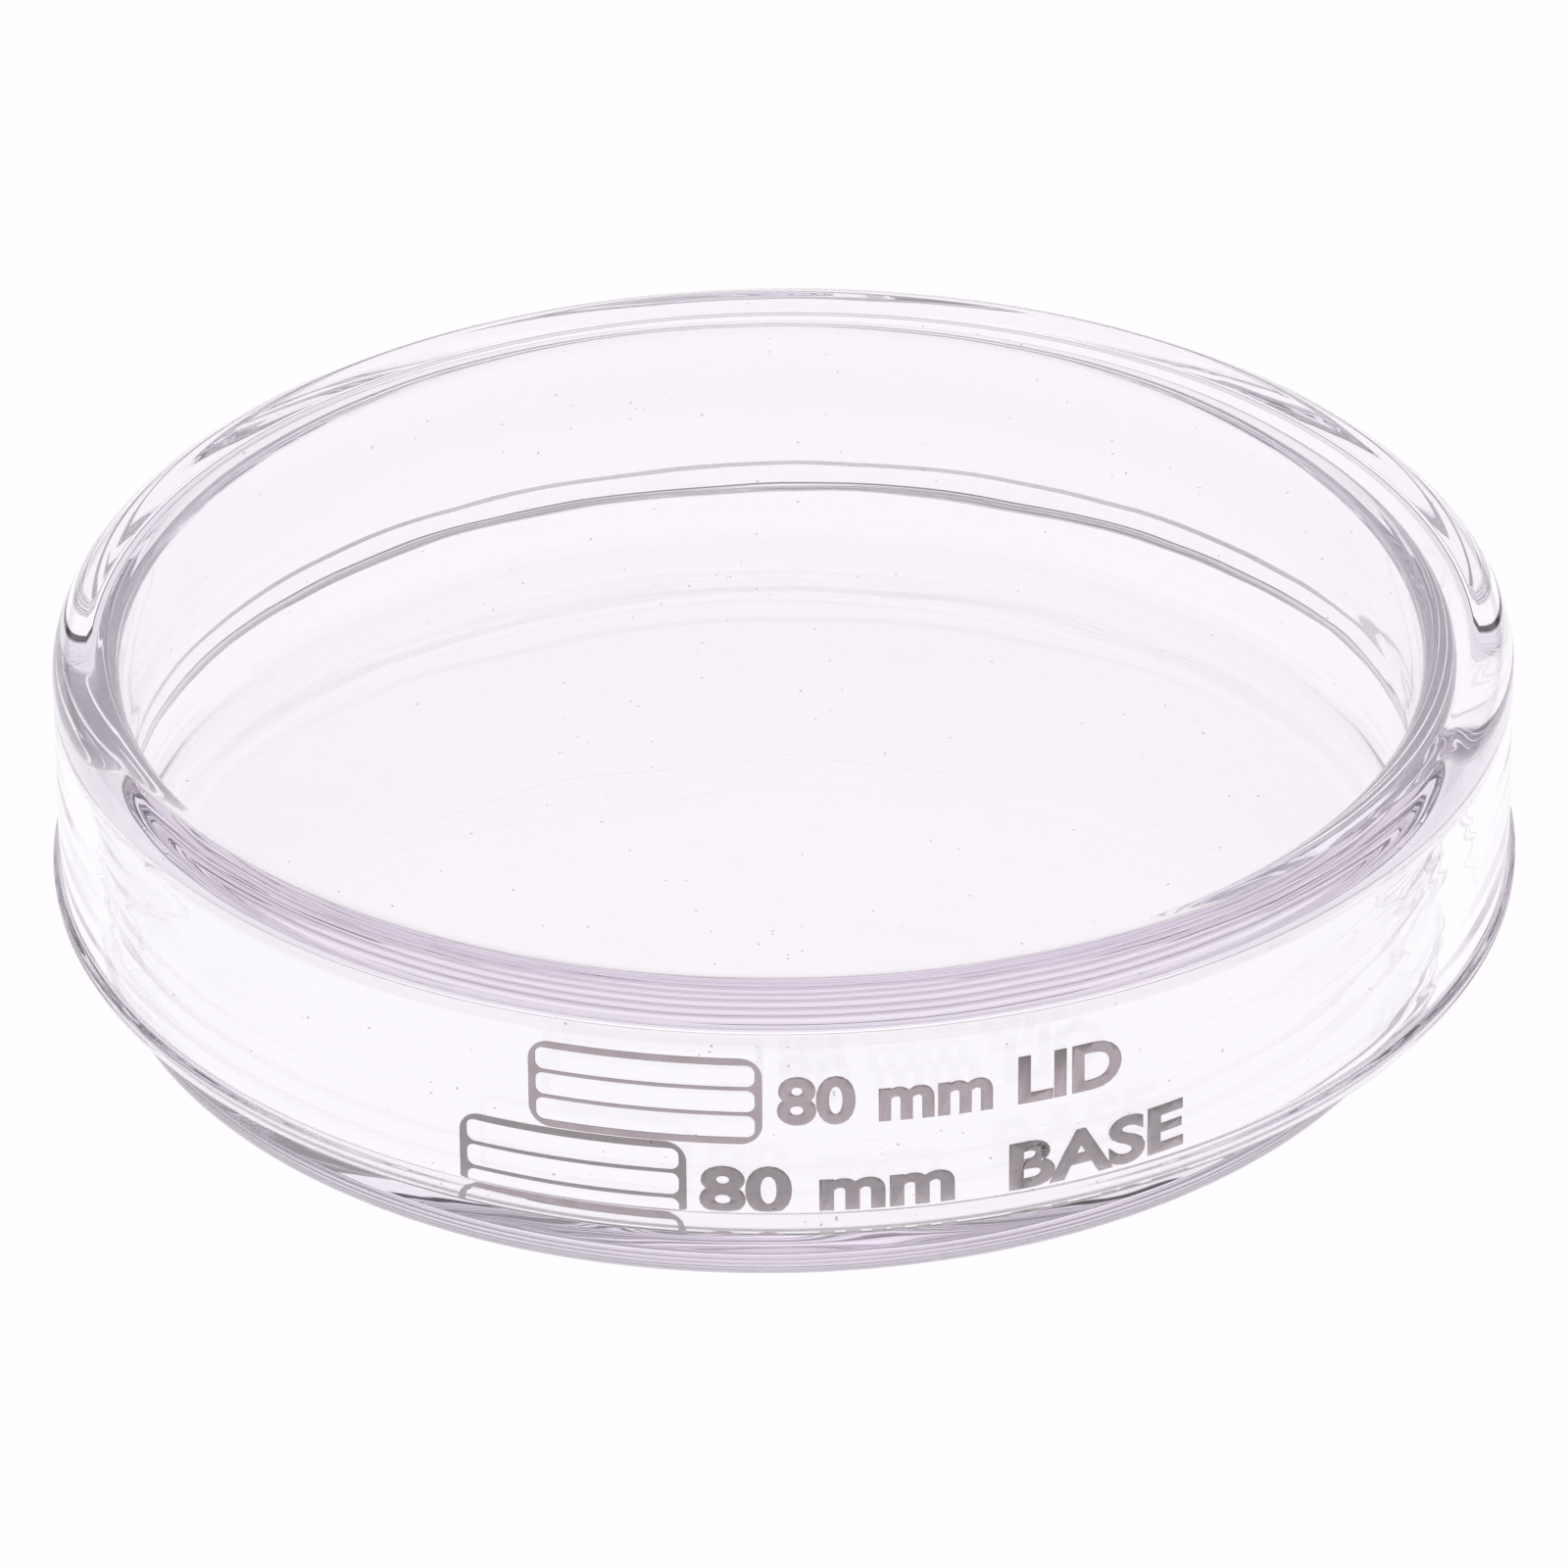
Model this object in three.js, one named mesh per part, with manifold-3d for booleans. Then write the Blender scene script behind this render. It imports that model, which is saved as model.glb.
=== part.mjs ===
// A glass petri dish: a shallow round base under a wider lid, each with a fired enamel marking field.
// Millimetres, +Z up. The origin is the centre of the base's flat underside. -Y is the printed front.
import * as THREE from "three";
import { mergeVertices } from "three/addons/utils/BufferGeometryUtils.js";
import Module from "manifold-3d";

// The base, a cylinder with a rounded foot, whose wall leans out a little towards its fire-polished rim
const BASE_HEIGHT = 17;
const BASE_RADIUS = 37;
const BASE_WALL = 1.85;
const BASE_FLOOR = 2.4;
const BASE_FOOT_ROUND = 2.4;
const BASE_INNER_ROUND = 1.6;
const BASE_LEAN = 0.45; // how much wider the rim is than the straight wall
const BASE_LEAN_START = 10.5;

// The lid, which rests on the base's rim and overlaps its wall
const LID_RADIUS = 40;
const LID_WALL = 1.75;
const LID_DISC = 3.1;
const LID_HEIGHT = 15;
const LID_SHOULDER_ROUND = 2.2;
const LID_INNER_ROUND = 1;
const LID_COLLAR = 0.35; // how far the band round the rim stands proud of the wall
const LID_COLLAR_HEIGHT = 1.7;
const LID_COLLAR_STEP = 0.5; // the height in which the band drops back to the wall
const LID_RIM_OUTER_ROUND = 1;
const LID_RIM_INNER_ROUND = 0.45;
const LID_GAP = 0.05; // between the base's rim and the lid's underside
const LID_SHIFT = 0.65; // the loose lid sits to the right of the base's axis

// The enamel marking fields: a rounded frame with ruled writing lines
const FIELD_HEIGHT = 5.2;
const FIELD_CORNER = 1.2;
const FIELD_LINE = 0.4;
const FIELD_RULES = 2;
const RULE_LINE = 0.2;
const ENAMEL_GAP = 0.03;
const ENAMEL_THICKNESS = 0.06;
const LID_FIELD = { width: 12.4, angle: -10.7, middle: 8.5 };
const BASE_FIELD = { width: 12.2, angle: -16.5, middle: 7 };

const TURN_STEPS = 96; // flats round every turned piece
const ARC_DIVISIONS = 3;
const CUTTER_DEPTH = 12; // long enough to pass through the whole curved skin

const GLASS = { color: 0xf2ecf6, roughness: 0.05, metalness: 0, transparent: true, opacity: 0.35 };
const ENAMEL = { color: 0xa89ca0, roughness: 0.6, metalness: 0 };

const wasm = await Module();
wasm.setup();

// A solid of revolution about +Z, from a path of radius and height
function turned(path) {
  const geometry = new THREE.LatheGeometry(path.getPoints(ARC_DIVISIONS), TURN_STEPS);
  return geometry.rotateX(Math.PI / 2);
}

function solidOf(geometry) {
  const bare = geometry.clone();
  bare.deleteAttribute("normal");
  bare.deleteAttribute("uv");
  const merged = mergeVertices(bare, 1e-4);
  return new wasm.Manifold(
    new wasm.Mesh({
      numProp: 3,
      vertProperties: merged.attributes.position.array,
      triVerts: new Uint32Array(merged.index.array),
    }),
  );
}

function geometryOf(solid) {
  const mesh = solid.getMesh();
  const geometry = new THREE.BufferGeometry();
  geometry.setAttribute("position", new THREE.BufferAttribute(mesh.vertProperties, 3));
  geometry.setIndex(new THREE.BufferAttribute(mesh.triVerts, 1));
  geometry.computeVertexNormals();
  return geometry;
}

function basePath() {
  const rim = BASE_WALL / 2;
  const inside = BASE_RADIUS - BASE_WALL;
  const rimCentre = BASE_RADIUS + BASE_LEAN - rim;
  const footCentre = BASE_RADIUS - BASE_FOOT_ROUND;
  const innerCentre = inside - BASE_INNER_ROUND;
  const path = new THREE.Path();
  path.moveTo(0, 0);
  path.lineTo(footCentre, 0);
  path.absarc(footCentre, BASE_FOOT_ROUND, BASE_FOOT_ROUND, -Math.PI / 2, 0, false);
  path.lineTo(BASE_RADIUS, BASE_LEAN_START);
  path.absarc(rimCentre, BASE_HEIGHT - rim, rim, 0, Math.PI, false);
  path.lineTo(inside, BASE_LEAN_START);
  path.absarc(innerCentre, BASE_FLOOR + BASE_INNER_ROUND, BASE_INNER_ROUND, 0, -Math.PI / 2, true);
  path.lineTo(0, BASE_FLOOR);
  return path;
}

// The lid's own heights start at its open rim
function lidPath() {
  const inside = LID_RADIUS - LID_WALL;
  const outside = LID_RADIUS + LID_COLLAR;
  const underside = LID_HEIGHT - LID_DISC;
  const innerCentre = inside - LID_INNER_ROUND;
  const rimStart = inside + LID_RIM_INNER_ROUND;
  const rimEnd = outside - LID_RIM_OUTER_ROUND;
  const shoulderCentre = LID_RADIUS - LID_SHOULDER_ROUND;
  const shoulderHeight = LID_HEIGHT - LID_SHOULDER_ROUND;
  const path = new THREE.Path();
  path.moveTo(0, underside);
  path.lineTo(innerCentre, underside);
  path.absarc(innerCentre, underside - LID_INNER_ROUND, LID_INNER_ROUND, Math.PI / 2, 0, true);
  path.absarc(rimStart, LID_RIM_INNER_ROUND, LID_RIM_INNER_ROUND, Math.PI, 1.5 * Math.PI, false);
  path.absarc(rimEnd, LID_RIM_OUTER_ROUND, LID_RIM_OUTER_ROUND, -Math.PI / 2, 0, false);
  path.lineTo(outside, LID_COLLAR_HEIGHT - LID_COLLAR_STEP);
  path.lineTo(LID_RADIUS, LID_COLLAR_HEIGHT);
  path.absarc(shoulderCentre, shoulderHeight, LID_SHOULDER_ROUND, 0, Math.PI / 2, false);
  path.lineTo(0, LID_HEIGHT);
  return path;
}

// A closed skin that stands just off a wall of the given radius
function skin(radius) {
  const inner = radius + ENAMEL_GAP;
  const outer = inner + ENAMEL_THICKNESS;
  const path = new THREE.Path();
  path.moveTo(inner, -FIELD_HEIGHT);
  path.lineTo(outer, -FIELD_HEIGHT);
  path.lineTo(outer, FIELD_HEIGHT);
  path.lineTo(inner, FIELD_HEIGHT);
  path.lineTo(inner, -FIELD_HEIGHT);
  return turned(path);
}

function roundedBox(outline, left, low, width, height, corner) {
  const right = left + width;
  const high = low + height;
  outline.absarc(right - corner, low + corner, corner, -Math.PI / 2, 0, false);
  outline.absarc(right - corner, high - corner, corner, 0, Math.PI / 2, false);
  outline.absarc(left + corner, high - corner, corner, Math.PI / 2, Math.PI, false);
  outline.absarc(left + corner, low + corner, corner, Math.PI, 1.5 * Math.PI, false);
  outline.closePath();
  return outline;
}

// The frame and its rules, drawn flat and pushed through the skin
function fieldCutter(width) {
  const frame = roundedBox(
    new THREE.Shape(), -width / 2, -FIELD_HEIGHT / 2, width, FIELD_HEIGHT, FIELD_CORNER);
  const innerWidth = width - 2 * FIELD_LINE;
  const innerHeight = FIELD_HEIGHT - 2 * FIELD_LINE;
  const row = (innerHeight - FIELD_RULES * RULE_LINE) / (FIELD_RULES + 1);
  for (let i = 0; i <= FIELD_RULES; i++) {
    const low = -innerHeight / 2 + i * (row + RULE_LINE);
    frame.holes.push(roundedBox(new THREE.Path(), -innerWidth / 2, low, innerWidth, row, row / 3));
  }
  const geometry = new THREE.ExtrudeGeometry(frame, {
    depth: CUTTER_DEPTH, bevelEnabled: false, curveSegments: ARC_DIVISIONS });
  return geometry.rotateX(Math.PI / 2);
}

function field(radius, { width, angle, middle }) {
  const cutter = fieldCutter(width).translate(0, CUTTER_DEPTH / 2 - radius, 0);
  cutter.rotateZ(THREE.MathUtils.degToRad(angle));
  const geometry = geometryOf(solidOf(skin(radius)).intersect(solidOf(cutter)));
  return geometry.translate(0, 0, middle);
}

function named(name, geometry, look) {
  const mesh = new THREE.Mesh(geometry, new THREE.MeshStandardMaterial(look));
  mesh.name = name;
  return mesh;
}

const base = new THREE.Group();
base.add(named("dish_base", turned(basePath()), GLASS));
base.add(named("base_marking_field", field(BASE_RADIUS, BASE_FIELD), ENAMEL));

const lid = new THREE.Group();
lid.position.set(LID_SHIFT, 0, BASE_HEIGHT + LID_GAP + LID_DISC - LID_HEIGHT);
lid.add(named("dish_lid", turned(lidPath()), GLASS));
lid.add(named("lid_marking_field", field(LID_RADIUS, LID_FIELD), ENAMEL));

const dish = new THREE.Group();
dish.add(base, lid);

export default dish;
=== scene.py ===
import math

import bmesh
import bpy
from mathutils import Matrix, Vector


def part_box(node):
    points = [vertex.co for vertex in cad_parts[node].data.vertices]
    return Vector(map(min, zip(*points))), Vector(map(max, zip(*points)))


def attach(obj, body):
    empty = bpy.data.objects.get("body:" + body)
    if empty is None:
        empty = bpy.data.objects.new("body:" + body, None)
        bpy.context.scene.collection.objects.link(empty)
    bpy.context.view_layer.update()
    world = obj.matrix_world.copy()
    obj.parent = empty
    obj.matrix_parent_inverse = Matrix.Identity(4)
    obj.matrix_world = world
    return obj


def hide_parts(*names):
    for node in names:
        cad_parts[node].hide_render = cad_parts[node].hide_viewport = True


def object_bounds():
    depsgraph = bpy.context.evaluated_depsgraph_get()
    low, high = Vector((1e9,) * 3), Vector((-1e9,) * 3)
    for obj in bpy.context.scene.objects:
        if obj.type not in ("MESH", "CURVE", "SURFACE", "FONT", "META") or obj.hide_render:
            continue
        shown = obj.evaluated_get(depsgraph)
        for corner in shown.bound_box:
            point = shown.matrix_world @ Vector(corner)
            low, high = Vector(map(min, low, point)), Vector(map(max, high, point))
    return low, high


# A glass petri dish with its lid on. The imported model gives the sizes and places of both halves,
# and this script turns them again in fine glass, with fired enamel lettering and a studio round them.
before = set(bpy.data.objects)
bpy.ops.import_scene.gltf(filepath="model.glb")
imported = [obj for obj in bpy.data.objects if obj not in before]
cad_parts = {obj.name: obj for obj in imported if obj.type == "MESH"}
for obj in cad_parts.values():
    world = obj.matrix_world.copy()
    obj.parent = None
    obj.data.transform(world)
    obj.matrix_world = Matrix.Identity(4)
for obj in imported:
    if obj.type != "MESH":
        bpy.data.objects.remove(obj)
cad_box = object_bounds()

# The script works in metres, like the frame, and MM turns a maker's millimetres into them.
MM = 0.001

# The base: outside sizes from the frame, then the wall, floor and rounds of its turned section
base_low, base_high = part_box("dish_base")
BASE_AXIS = (base_low + base_high) / 2
BASE_LEAN = 0.45 * MM  # how much wider the rim is than the straight wall
BASE_LEAN_START = base_low.z + 10.5 * MM
BASE_RADIUS = (base_high.x - base_low.x) / 2 - BASE_LEAN
BASE_WALL = 1.85 * MM
BASE_FLOOR = 2.4 * MM
BASE_FOOT_ROUND = 2.4 * MM
BASE_INNER_ROUND = 1.6 * MM
BASE_RIM_ROUND = 0.9 * MM

# The lid: its open rim is the lowest and widest part of it
lid_low, lid_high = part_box("dish_lid")
LID_AXIS = (lid_low + lid_high) / 2
LID_COLLAR = 0.35 * MM  # how far the band round the rim stands proud of the wall
LID_RADIUS = (lid_high.x - lid_low.x) / 2 - LID_COLLAR
LID_RIM = lid_low.z
LID_TOP = lid_high.z
LID_WALL = 1.75 * MM
LID_DISC = 3.1 * MM
LID_SHOULDER_ROUND = 2.2 * MM
LID_INNER_ROUND = 1 * MM
LID_COLLAR_TOP = LID_RIM + 1.7 * MM
LID_COLLAR_STEP = 0.5 * MM  # the height in which the band drops back to the wall
LID_RIM_OUTER_ROUND = 1 * MM
LID_RIM_INNER_ROUND = 0.45 * MM

# How finely the sections are drawn and turned
TURN_STEPS = 480
ARC_STEP = math.radians(6)
LINE_STEP = 1.6 * MM
LINE_END = 0.08 * MM  # a short stretch at each end of a straight, which keeps the glass flat up to its rounds

# What fire and mould leave in the glass: it is never quite round or quite smooth
LID_OUT_OF_ROUND = 0.06 * MM
BASE_OUT_OF_ROUND = 0.08 * MM
RIPPLE_DEPTH = 0.015 * MM
RIPPLE_LENGTH = 9 * MM

# The enamel lettering stands off the glass by the same film of air as the marking fields
ENAMEL_GAP = 0.03 * MM
ENAMEL_THICKNESS = 0.05 * MM
LETTER_HEIGHT = 2.95 * MM
LETTER_WEIGHT = 0.035  # how far each stroke is thickened, as a share of the type size
PRINT_CUT = 0.5 * MM  # strips narrow enough to follow the round wall
FIELD_HEIGHT = 5.2 * MM
FIELD_CORNER = 1.2 * MM
FIELD_LINE = 0.4 * MM
FIELD_RULES = 2
RULE_LINE = 0.2 * MM

# The camera: a long lens, well above the table, aimed just under the middle of the dish
CAMERA_DISTANCE = 650 * MM
CAMERA_ELEVATION = math.radians(30.2)
CAMERA_AIM = Vector((0, 0, -0.6)) * MM
CAMERA_LENS = 270.7
CAMERA_SENSOR = 36
CAMERA_ROLL = math.radians(-0.4)

FLOOR_SIZE = 12
FLOOR_DROP = 0.03 * MM  # keeps the glass foot and the table from lying in one plane


# ---------------------------------------------------------------- nodes

def add(tree, kind, inputs=None, **settings):
    """Adds a node, with its settings, and fills its inputs with plain values or with other nodes' outputs."""
    node = tree.nodes.new(kind)
    for name, value in settings.items():
        setattr(node, name, value)
    for key, value in (inputs or {}).items():
        if isinstance(value, bpy.types.NodeSocket):
            tree.links.new(value, node.inputs[key])
        else:
            node.inputs[key].default_value = value
    return node


def linear(code, alpha=1.0):
    """A colour as the shader wants it, from its sRGB hex code."""
    channels = []
    for start in (1, 3, 5):
        share = int(code[start:start + 2], 16) / 255
        channels.append(share / 12.92 if share <= 0.04045 else ((share + 0.055) / 1.055) ** 2.4)
    return (*channels, alpha)


# ---------------------------------------------------------------- materials

def new_material(name):
    material = bpy.data.materials.new(name)
    material.use_nodes = True
    material.node_tree.nodes.clear()
    return material, material.node_tree


def pressed_glass():
    """Soda-lime glass, pressed and fire-polished: clear, with a breath of violet where it is deep,
    soft draw lines along its walls and a few seeds and specks of dust."""
    material, tree = new_material("pressed_soda_lime_glass")
    place = add(tree, "ShaderNodeTexCoord").outputs["Object"]

    # Draw lines run round the wall, so the pattern is stretched round and tight up and down
    draw_map = add(tree, "ShaderNodeMapping", {"Vector": place, "Scale": (30, 30, 260)})
    draw = add(tree, "ShaderNodeTexNoise", {
        "Vector": draw_map.outputs["Vector"], "Scale": 1.0, "Detail": 2.0, "Roughness": 0.5})
    draw_bump = add(tree, "ShaderNodeBump", {
        "Strength": 1.0, "Distance": 0.05 * MM, "Height": draw.outputs["Fac"]})

    # Seeds and dust: one cell is 0.8 mm, and only the liveliest cells hold a speck, about 0.1 mm across
    cells = add(tree, "ShaderNodeTexVoronoi", {"Vector": place, "Scale": 1 / (0.8 * MM)})
    size = add(tree, "ShaderNodeSeparateColor", {"Color": cells.outputs["Color"]})
    reach = add(tree, "ShaderNodeMapRange", {
        "Value": size.outputs["Red"], "From Min": 0.9, "From Max": 1.0, "To Min": 0.0, "To Max": 0.12})
    speck = add(tree, "ShaderNodeMath", {
        0: cells.outputs["Distance"], 1: reach.outputs["Result"]}, operation="LESS_THAN")
    tint = add(tree, "ShaderNodeMix", {
        "Factor": speck.outputs["Value"], 6: (1, 1, 1, 1), 7: linear("#A8A0A6")}, data_type="RGBA")

    body = add(tree, "ShaderNodeBsdfPrincipled", {
        "Base Color": tint.outputs[2],
        "Roughness": 0.0,
        "IOR": 1.5,
        "Transmission Weight": 1.0,
        "Normal": draw_bump.outputs["Normal"],
    })
    depth = add(tree, "ShaderNodeVolumeAbsorption", {"Color": (0.96, 0.945, 0.965, 1), "Density": 45.0})
    add(tree, "ShaderNodeOutputMaterial", {
        "Surface": body.outputs["BSDF"], "Volume": depth.outputs["Volume"]})
    return material


def fired_enamel():
    """Ceramic ink, screen-printed and fired on the glass: a warm grey, half matt, slightly granular."""
    material, tree = new_material("fired_ceramic_enamel")
    place = add(tree, "ShaderNodeTexCoord").outputs["Object"]
    cloud = add(tree, "ShaderNodeTexNoise", {"Vector": place, "Scale": 1 / (1.5 * MM), "Detail": 3.0})
    grain = add(tree, "ShaderNodeTexNoise", {"Vector": place, "Scale": 1 / (0.12 * MM), "Detail": 2.0})
    mixed = add(tree, "ShaderNodeMix", {
        "Factor": 0.5, 2: cloud.outputs["Fac"], 3: grain.outputs["Fac"]}, data_type="FLOAT")
    tone = add(tree, "ShaderNodeMapRange", {
        "Value": mixed.outputs[0], "From Min": 0.35, "From Max": 0.65})
    colour = add(tree, "ShaderNodeMix", {
        "Factor": tone.outputs["Result"], 6: linear("#C6BABE"), 7: linear("#D8CCD0")}, data_type="RGBA")
    rough = add(tree, "ShaderNodeMapRange", {
        "Value": grain.outputs["Fac"], "From Min": 0.3, "From Max": 0.7, "To Min": 0.45, "To Max": 0.65})
    bump = add(tree, "ShaderNodeBump", {
        "Strength": 0.4, "Distance": 0.01 * MM, "Height": grain.outputs["Fac"]})
    body = add(tree, "ShaderNodeBsdfPrincipled", {
        "Base Color": colour.outputs[2],
        "Roughness": rough.outputs["Result"],
        "IOR": 1.5,
        "Normal": bump.outputs["Normal"],
    })
    add(tree, "ShaderNodeOutputMaterial", {"Surface": body.outputs["BSDF"]})
    return material


def table_sheet():
    """The table: white acrylic sheet, lit softly from within, as on a light table."""
    material, tree = new_material("white_acrylic_table")
    place = add(tree, "ShaderNodeTexCoord").outputs["Object"]
    cloud = add(tree, "ShaderNodeTexNoise", {"Vector": place, "Scale": 4.0, "Detail": 2.0})
    colour = add(tree, "ShaderNodeMix", {
        "Factor": cloud.outputs["Fac"], 6: linear("#4A474B"), 7: linear("#504D51")}, data_type="RGBA")
    body = add(tree, "ShaderNodeBsdfPrincipled", {
        "Base Color": colour.outputs[2],
        "Roughness": 1.0,
        "Specular IOR Level": 0.0,
        "Emission Color": linear("#FDFBFE"),
        "Emission Strength": 1.0,
    })
    add(tree, "ShaderNodeOutputMaterial", {"Surface": body.outputs["BSDF"]})
    return material


# ---------------------------------------------------------------- turned glass

def arc(across, up, radius, start, end):
    """Points round an arc of the section, by its centre, from one angle to another in degrees."""
    start, end = math.radians(start), math.radians(end)
    count = max(2, math.ceil(abs(end - start) / ARC_STEP))
    angles = [start + (end - start) * i / count for i in range(count + 1)]
    return [(across + radius * math.cos(a), up + radius * math.sin(a)) for a in angles]


def joined(*stretches):
    """One outline from its rounds and corners, with the straights between them divided evenly."""
    outline = []
    for stretch in stretches:
        if outline:
            outline += straight(outline[-1], stretch[0])
        outline += stretch
    return outline


def straight(start, end):
    """The points inside a straight: one close to each end, and the rest evenly between."""
    length = math.dist(start, end)
    if length < 3 * LINE_END:
        return []
    count = max(1, round(length / LINE_STEP))
    shares = [LINE_END / length, *[i / count for i in range(1, count)], 1 - LINE_END / length]
    return [(start[0] + (end[0] - start[0]) * s, start[1] + (end[1] - start[1]) * s) for s in shares]


def base_outline():
    """The base's section: underside, foot, wall, rim, and back down inside to the middle of its floor."""
    inside = BASE_RADIUS - BASE_WALL
    foot = BASE_RADIUS - BASE_FOOT_ROUND
    corner = inside - BASE_INNER_ROUND
    rim_outside = BASE_RADIUS + BASE_LEAN
    rim = base_high.z - BASE_RIM_ROUND
    return joined(
        [(0, base_low.z)],
        arc(foot, base_low.z + BASE_FOOT_ROUND, BASE_FOOT_ROUND, -90, 0),
        step(BASE_RADIUS, BASE_LEAN_START, rim_outside, rim - BASE_RIM_ROUND),
        arc(rim_outside - BASE_RIM_ROUND, rim, BASE_RIM_ROUND, 0, 90),
        arc(rim_outside - BASE_WALL + BASE_RIM_ROUND, rim, BASE_RIM_ROUND, 90, 180),
        step(inside + BASE_LEAN, rim - BASE_RIM_ROUND, inside, BASE_LEAN_START),
        arc(corner, base_low.z + BASE_FLOOR + BASE_INNER_ROUND, BASE_INNER_ROUND, 0, -90),
        [(0, base_low.z + BASE_FLOOR)],
    )


def lid_outline():
    """The lid's section: underside of its disc, inner wall, rim, collar, outer wall, shoulder and top."""
    inside = LID_RADIUS - LID_WALL
    underside = LID_TOP - LID_DISC
    outside = LID_RADIUS + LID_COLLAR
    shoulder = LID_TOP - LID_SHOULDER_ROUND
    return joined(
        [(0, underside)],
        arc(inside - LID_INNER_ROUND, underside - LID_INNER_ROUND, LID_INNER_ROUND, 90, 0),
        arc(inside + LID_RIM_INNER_ROUND, LID_RIM + LID_RIM_INNER_ROUND, LID_RIM_INNER_ROUND, 180, 270),
        arc(outside - LID_RIM_OUTER_ROUND, LID_RIM + LID_RIM_OUTER_ROUND, LID_RIM_OUTER_ROUND, -90, 0),
        step(outside, LID_COLLAR_TOP - LID_COLLAR_STEP, LID_RADIUS, LID_COLLAR_TOP),
        arc(LID_RADIUS - LID_SHOULDER_ROUND, shoulder, LID_SHOULDER_ROUND, 0, 90),
        [(0, LID_TOP)],
    )


def step(first, low, last, high):
    """A soft S from one radius to another, by which a wall swells or draws in."""
    count = 12
    points = []
    for i in range(count + 1):
        share = i / count
        swell = share * share * (3 - 2 * share)
        points.append((first + (last - first) * swell, low + (high - low) * share))
    return points


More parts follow.
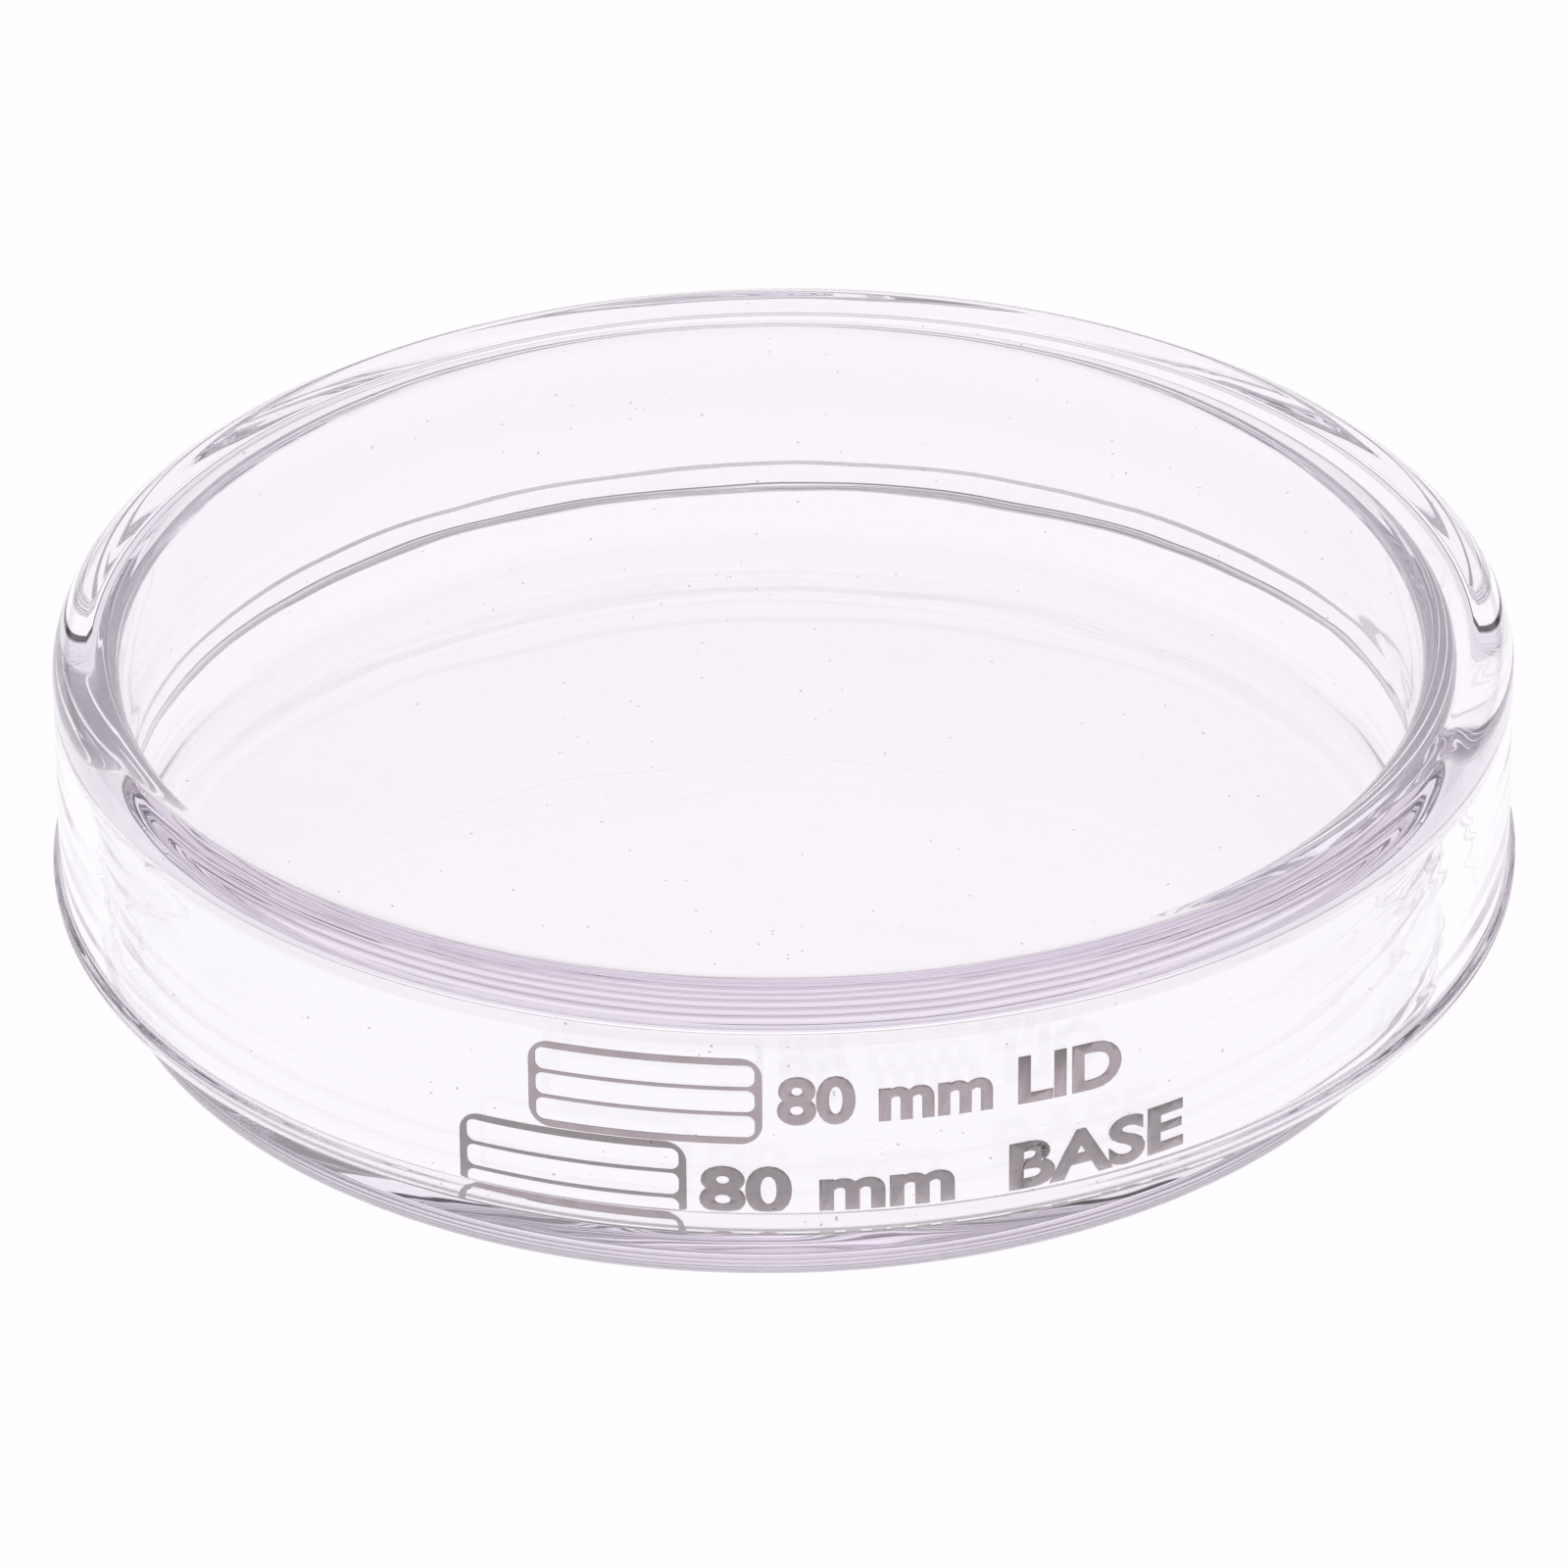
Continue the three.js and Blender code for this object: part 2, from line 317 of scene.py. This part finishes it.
def turning_tree():
    """Geometry nodes that turn a section, drawn as a chain of points, once round a vertical axis."""
    tree = bpy.data.node_groups.new("turned_glass", "GeometryNodeTree")
    sockets = {
        "Section": ("INPUT", "NodeSocketGeometry"),
        "Turn Steps": ("INPUT", "NodeSocketInt"),
        "Axis": ("INPUT", "NodeSocketVector"),
        "Out Of Round": ("INPUT", "NodeSocketFloat"),
        "Out Of Round Angle": ("INPUT", "NodeSocketFloat"),
        "Ripple Depth": ("INPUT", "NodeSocketFloat"),
        "Ripple Length": ("INPUT", "NodeSocketFloat"),
        "Ripple Seed": ("INPUT", "NodeSocketFloat"),
        "Glass": ("INPUT", "NodeSocketMaterial"),
        "Turned": ("OUTPUT", "NodeSocketGeometry"),
    }
    for name, (direction, kind) in sockets.items():
        tree.interface.new_socket(name, in_out=direction, socket_type=kind)
    given = add(tree, "NodeGroupInput").outputs

    # A grid with one row for each point of the section and one column for each step of the turn
    rows = add(tree, "GeometryNodeAttributeDomainSize", {"Geometry": given["Section"]}, component="MESH")
    columns = add(tree, "ShaderNodeMath", {0: given["Turn Steps"], 1: 1.0}, operation="ADD")
    grid = add(tree, "GeometryNodeMeshGrid", {
        "Vertices X": columns.outputs[0], "Vertices Y": rows.outputs["Point Count"]})
    index = add(tree, "GeometryNodeInputIndex").outputs[0]
    row = add(tree, "FunctionNodeIntegerMath", {
        0: index, 1: rows.outputs["Point Count"]}, operation="MODULO")
    column = add(tree, "FunctionNodeIntegerMath", {
        0: index, 1: rows.outputs["Point Count"]}, operation="DIVIDE_FLOOR")
    here = add(tree, "GeometryNodeInputPosition").outputs[0]
    point = add(tree, "GeometryNodeSampleIndex", {
        "Geometry": given["Section"], "Value": here, "Index": row.outputs[0]}, data_type="FLOAT_VECTOR")
    section = add(tree, "ShaderNodeSeparateXYZ", {0: point.outputs[0]})

    turn = add(tree, "ShaderNodeMath", {0: column.outputs[0], 1: given["Turn Steps"]}, operation="DIVIDE")
    angle = add(tree, "ShaderNodeMath", {0: turn.outputs[0], 1: math.tau}, operation="MULTIPLY")
    aside = add(tree, "ShaderNodeMath", {
        0: angle.outputs[0], 1: given["Out Of Round Angle"]}, operation="SUBTRACT")
    twice = add(tree, "ShaderNodeMath", {0: aside.outputs[0], 1: 2.0}, operation="MULTIPLY")
    oval = add(tree, "ShaderNodeMath", {0: twice.outputs[0]}, operation="COSINE")
    share = add(tree, "ShaderNodeMath", {
        0: oval.outputs[0], 1: given["Out Of Round"], 2: 1.0}, operation="MULTIPLY_ADD")
    radius = add(tree, "ShaderNodeMath", {0: section.outputs["X"], 1: share.outputs[0]}, operation="MULTIPLY")
    cosine = add(tree, "ShaderNodeMath", {0: angle.outputs[0]}, operation="COSINE")
    sine = add(tree, "ShaderNodeMath", {0: angle.outputs[0]}, operation="SINE")
    across = add(tree, "ShaderNodeMath", {0: radius.outputs[0], 1: cosine.outputs[0]}, operation="MULTIPLY")
    along = add(tree, "ShaderNodeMath", {0: radius.outputs[0], 1: sine.outputs[0]}, operation="MULTIPLY")
    around = add(tree, "ShaderNodeCombineXYZ", {
        "X": across.outputs[0], "Y": along.outputs[0], "Z": section.outputs["Z"]})
    rolled = add(tree, "GeometryNodeSetPosition", {
        "Geometry": grid.outputs["Mesh"], "Position": around.outputs[0]})
    closed = add(tree, "GeometryNodeMergeByDistance", {
        "Geometry": rolled.outputs["Geometry"], "Distance": 0.001 * MM})

    # The ripple moves each point a little in or out of the surface
    per_length = add(tree, "ShaderNodeMath", {0: 1.0, 1: given["Ripple Length"]}, operation="DIVIDE")
    finer = add(tree, "ShaderNodeVectorMath", {0: here, "Scale": per_length.outputs[0]}, operation="SCALE")
    ripple = add(tree, "ShaderNodeTexNoise", {
        "Vector": finer.outputs[0], "W": given["Ripple Seed"], "Scale": 1.0, "Detail": 1.0},
        noise_dimensions="4D")
    swing = add(tree, "ShaderNodeMapRange", {"Value": ripple.outputs["Fac"], "To Min": -1.0, "To Max": 1.0})
    push = add(tree, "ShaderNodeMath", {0: swing.outputs[0], 1: given["Ripple Depth"]}, operation="MULTIPLY")
    normal = add(tree, "GeometryNodeInputNormal").outputs[0]
    offset = add(tree, "ShaderNodeVectorMath", {0: normal, "Scale": push.outputs[0]}, operation="SCALE")
    rippled = add(tree, "GeometryNodeSetPosition", {
        "Geometry": closed.outputs["Geometry"], "Offset": offset.outputs[0]})
    placed = add(tree, "GeometryNodeSetPosition", {
        "Geometry": rippled.outputs["Geometry"], "Offset": given["Axis"]})
    smooth = add(tree, "GeometryNodeSetShadeSmooth", {"Geometry": placed.outputs["Geometry"]})
    real = add(tree, "GeometryNodeRealizeInstances", {"Geometry": smooth.outputs["Geometry"]})
    dressed = add(tree, "GeometryNodeSetMaterial", {
        "Geometry": real.outputs["Geometry"], "Material": given["Glass"]})
    add(tree, "NodeGroupOutput", {"Turned": dressed.outputs["Geometry"]})
    return tree


def turned(name, outline, tree, values):
    """A closed piece of glass: the tree turns the outline, and the result is kept as a plain mesh."""
    chain = bpy.data.meshes.new(name)
    points = [(across, 0, up) for across, up in outline]
    chain.from_pydata(points, [(i, i + 1) for i in range(len(points) - 1)], [])
    lathe = bpy.data.objects.new(name, chain)
    bpy.context.scene.collection.objects.link(lathe)
    modifier = lathe.modifiers.new("turning", "NODES")
    modifier.node_group = tree
    for item in tree.interface.items_tree:
        if item.name in values:
            modifier[item.identifier] = values[item.name]
    graph = bpy.context.evaluated_depsgraph_get()
    mesh = bpy.data.meshes.new_from_object(lathe.evaluated_get(graph), depsgraph=graph)
    lathe.modifiers.remove(modifier)
    lathe.data = mesh
    face_outwards(mesh)
    return lathe


def face_outwards(mesh):
    shape = bmesh.new()
    shape.from_mesh(mesh)
    bmesh.ops.recalc_face_normals(shape, faces=shape.faces)
    shape.to_mesh(mesh)
    shape.free()


# ---------------------------------------------------------------- enamel lettering

def type_block(words):
    block = bpy.data.curves.new("type", "FONT")
    block.body = words
    block.offset = LETTER_WEIGHT
    block.resolution_u = 5
    return block


def writing_field(width):
    """A rounded frame round ruled rows, for a label written by hand."""
    block = bpy.data.curves.new("field", "CURVE")
    block.dimensions = "2D"
    block.fill_mode = "BOTH"
    rounded_box(block, 0, 0, width, FIELD_HEIGHT, FIELD_CORNER)
    inner_width = width - 2 * FIELD_LINE
    row = (FIELD_HEIGHT - 2 * FIELD_LINE - FIELD_RULES * RULE_LINE) / (FIELD_RULES + 1)
    for i in range(FIELD_RULES + 1):
        low = FIELD_LINE + i * (row + RULE_LINE)
        rounded_box(block, FIELD_LINE, low, inner_width, row, row / 3)
    return block


def rounded_box(block, left, low, width, height, corner):
    right = left + width - corner
    high = low + height - corner
    corners = [
        arc(right, low + corner, corner, -90, 0),
        arc(right, high, corner, 0, 90),
        arc(left + corner, high, corner, 90, 180),
        arc(left + corner, low + corner, corner, 180, 270),
    ]
    points = [point for corner_points in corners for point in corner_points]
    spline = block.splines.new("POLY")
    spline.points.add(len(points) - 1)
    for point, (across, up) in zip(spline.points, points):
        point.co = (across, up, 0, 1)
    spline.use_cyclic_u = True


def printed(name, block, axis, radius, left, right, low, height, material):
    """A flat print laid round a wall, between two angles to the right of the front, as a thin closed film."""
    holder = bpy.data.objects.new(name, block)
    bpy.context.scene.collection.objects.link(holder)
    graph = bpy.context.evaluated_depsgraph_get()
    mesh = bpy.data.meshes.new_from_object(holder.evaluated_get(graph), depsgraph=graph)
    bpy.data.objects.remove(holder)

    shape = bmesh.new()
    shape.from_mesh(mesh)
    bmesh.ops.remove_doubles(shape, verts=shape.verts, dist=1e-7)
    left_edge = min(v.co.x for v in shape.verts)
    low_edge = min(v.co.y for v in shape.verts)
    wide = max(v.co.x for v in shape.verts) - left_edge
    tall = max(v.co.y for v in shape.verts) - low_edge
    arc_length = math.radians(right - left) * radius
    for v in shape.verts:
        v.co.x = (v.co.x - left_edge) / wide * arc_length
        v.co.y = (v.co.y - low_edge) / tall * height
        v.co.z = 0
    for cut in range(1, math.ceil(arc_length / PRINT_CUT)):
        everything = shape.verts[:] + shape.edges[:] + shape.faces[:]
        bmesh.ops.bisect_plane(
            shape, geom=everything, dist=1e-8, plane_co=(cut * PRINT_CUT, 0, 0), plane_no=(1, 0, 0))
    raised = bmesh.ops.extrude_face_region(shape, geom=shape.faces[:], use_keep_orig=True)["geom"]
    for v in raised:
        if isinstance(v, bmesh.types.BMVert):
            v.co.z = ENAMEL_THICKNESS
    for v in shape.verts:
        angle = math.radians(left) + v.co.x / radius
        out = radius + ENAMEL_GAP + v.co.z
        v.co = (axis.x + out * math.sin(angle), axis.y - out * math.cos(angle), low + v.co.y)
    bmesh.ops.recalc_face_normals(shape, faces=shape.faces)
    shape.to_mesh(mesh)
    shape.free()
    mesh.materials.clear()
    mesh.materials.append(material)
    film = bpy.data.objects.new(name, mesh)
    bpy.context.scene.collection.objects.link(film)
    return film


# ---------------------------------------------------------------- studio

def studio_floor():
    shape = bmesh.new()
    bmesh.ops.create_grid(shape, x_segments=8, y_segments=8, size=FLOOR_SIZE / 2)
    mesh = bpy.data.meshes.new("floor")
    shape.to_mesh(mesh)
    shape.free()
    mesh.materials.append(table_sheet())
    floor = bpy.data.objects.new("floor", mesh)
    floor.location.z = cad_box[0].z - FLOOR_DROP
    bpy.context.scene.collection.objects.link(floor)


def studio_light():
    """A pale backdrop behind the dish, a dim room at its sides and a wide soft box in front and above."""
    world = bpy.data.worlds.new("studio")
    bpy.context.scene.world = world
    world.use_nodes = True
    tree = world.node_tree
    tree.nodes.clear()
    way = add(tree, "ShaderNodeTexCoord").outputs["Generated"]
    direction = add(tree, "ShaderNodeSeparateXYZ", {0: way}).outputs
    flat = add(tree, "ShaderNodeCombineXYZ", {"X": direction["X"], "Y": direction["Y"]})
    level = add(tree, "ShaderNodeVectorMath", {0: flat.outputs[0]}, operation="NORMALIZE")
    away = add(tree, "ShaderNodeSeparateXYZ", {0: level.outputs[0]}).outputs["Y"]
    behind = add(tree, "ShaderNodeMapRange", {"Value": away, "From Min": 0.6, "From Max": 0.85})
    before = add(tree, "ShaderNodeMapRange", {"Value": away, "From Min": -0.2, "From Max": -0.6})
    backdrop = sky(tree, direction["Z"], "#FCF4FF", [
        (0.0, 0.9), (0.02, 0.9), (0.05, 0.04), (0.17, 0.04), (0.24, 0.85), (0.75, 0.85), (0.83, 1.2)])
    sides = sky(tree, direction["Z"], "#F8F4FA", [(0.0, 0.9), (0.02, 0.9), (0.05, 0.15), (1.0, 0.25)])
    front = sky(tree, direction["Z"], "#FAF8FB", [
        (0.0, 0.9), (0.02, 0.9), (0.05, 0.1), (0.5, 0.1), (0.56, 0.8), (0.7, 0.8), (0.76, 0.25)])
    room = add(tree, "ShaderNodeMix", {
        "Factor": before.outputs["Result"], 6: sides, 7: front}, data_type="RGBA")
    whole = add(tree, "ShaderNodeMix", {
        "Factor": behind.outputs["Result"], 6: room.outputs[2], 7: backdrop}, data_type="RGBA")
    background = add(tree, "ShaderNodeBackground", {"Color": whole.outputs[2], "Strength": 1.0})
    add(tree, "ShaderNodeOutputWorld", {"Surface": background.outputs["Background"]})


def sky(tree, height, code, stops):
    """The light from one side of the room, by the sine of its height above the table."""
    ramp = add(tree, "ShaderNodeValToRGB", {"Fac": height})
    elements = ramp.color_ramp.elements
    elements.remove(elements[-1])
    tint = linear(code)
    for i, (place, strength) in enumerate(stops):
        element = elements[0] if i == 0 else elements.new(place)
        element.position = place
        element.color = (strength * tint[0], strength * tint[1], strength * tint[2], 1)
    return ramp.outputs["Color"]


def camera():
    lens = bpy.data.cameras.new("camera")
    lens.sensor_width = CAMERA_SENSOR
    lens.lens = CAMERA_LENS
    lens.clip_start = 0.01
    eye = bpy.data.objects.new("camera", lens)
    bpy.context.scene.collection.objects.link(eye)
    aim = (cad_box[0] + cad_box[1]) / 2 + CAMERA_AIM
    back = Vector((0, -math.cos(CAMERA_ELEVATION), math.sin(CAMERA_ELEVATION)))
    eye.location = aim + CAMERA_DISTANCE * back
    level = Matrix.Rotation(math.pi / 2 - CAMERA_ELEVATION, 3, "X")
    eye.rotation_euler = (level @ Matrix.Rotation(CAMERA_ROLL, 3, "Z")).to_euler()
    bpy.context.scene.camera = eye


def light_paths():
    """Light crosses many glass faces before it leaves a closed dish, so it is followed further than usual."""
    cycles = bpy.context.scene.cycles
    cycles.max_bounces = 64
    cycles.transmission_bounces = 64
    cycles.glossy_bounces = 64
    bpy.context.scene.view_settings.view_transform = "Standard"


# ---------------------------------------------------------------- the dish

def writing_frame(node, axis, radius, material):
    """The marking field of one half, where and as wide as its CAD node."""
    low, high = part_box(node)
    left = math.degrees(math.asin((low.x - axis.x) / (radius + ENAMEL_GAP)))
    right = math.degrees(math.asin((high.x - axis.x) / (radius + ENAMEL_GAP)))
    width = math.radians(right - left) * radius
    frame_piece = printed(
        node.replace("field", "frame"), writing_field(width), axis, radius,
        left, right, low.z, high.z - low.z, material)
    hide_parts(node)
    return frame_piece


def dish():
    glass = pressed_glass()
    enamel = fired_enamel()
    tree = turning_tree()
    common = {
        "Turn Steps": TURN_STEPS,
        "Ripple Depth": RIPPLE_DEPTH,
        "Ripple Length": RIPPLE_LENGTH,
        "Glass": glass,
    }
    base = turned("glass_base", base_outline(), tree, {
        **common,
        "Axis": (BASE_AXIS.x, BASE_AXIS.y, 0),
        "Out Of Round": BASE_OUT_OF_ROUND / BASE_RADIUS,
        "Out Of Round Angle": math.radians(20),
        "Ripple Seed": 3.0,
    })
    lid = turned("glass_lid", lid_outline(), tree, {
        **common,
        "Axis": (LID_AXIS.x, LID_AXIS.y, 0),
        "Out Of Round": LID_OUT_OF_ROUND / LID_RADIUS,
        "Out Of Round Angle": math.radians(45),
        "Ripple Seed": 7.0,
    })
    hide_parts("dish_base")
    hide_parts("dish_lid")
    lid_words = printed(
        "lid_size_lettering", type_block("80 mm LID"), LID_AXIS, LID_RADIUS,
        -0.7, 26, 12.2 * MM, LETTER_HEIGHT, enamel)
    base_words = printed(
        "base_size_lettering", type_block("80 mm  BASE"), BASE_AXIS, BASE_RADIUS,
        -6, 35, 5.3 * MM, LETTER_HEIGHT, enamel)
    lid_field = writing_frame("lid_marking_field", LID_AXIS, LID_RADIUS, enamel)
    base_field = writing_frame("base_marking_field", BASE_AXIS, BASE_RADIUS, enamel)
    for piece, body, finish in [
        (base, "base", "clear_glass"),
        (lid, "lid", "clear_glass"),
        (base_words, "base", "fired_enamel"),
        (lid_words, "lid", "fired_enamel"),
        (base_field, "base", "fired_enamel"),
        (lid_field, "lid", "fired_enamel"),
    ]:
        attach(piece, body)


dish()
studio_floor()
studio_light()
camera()
light_paths()
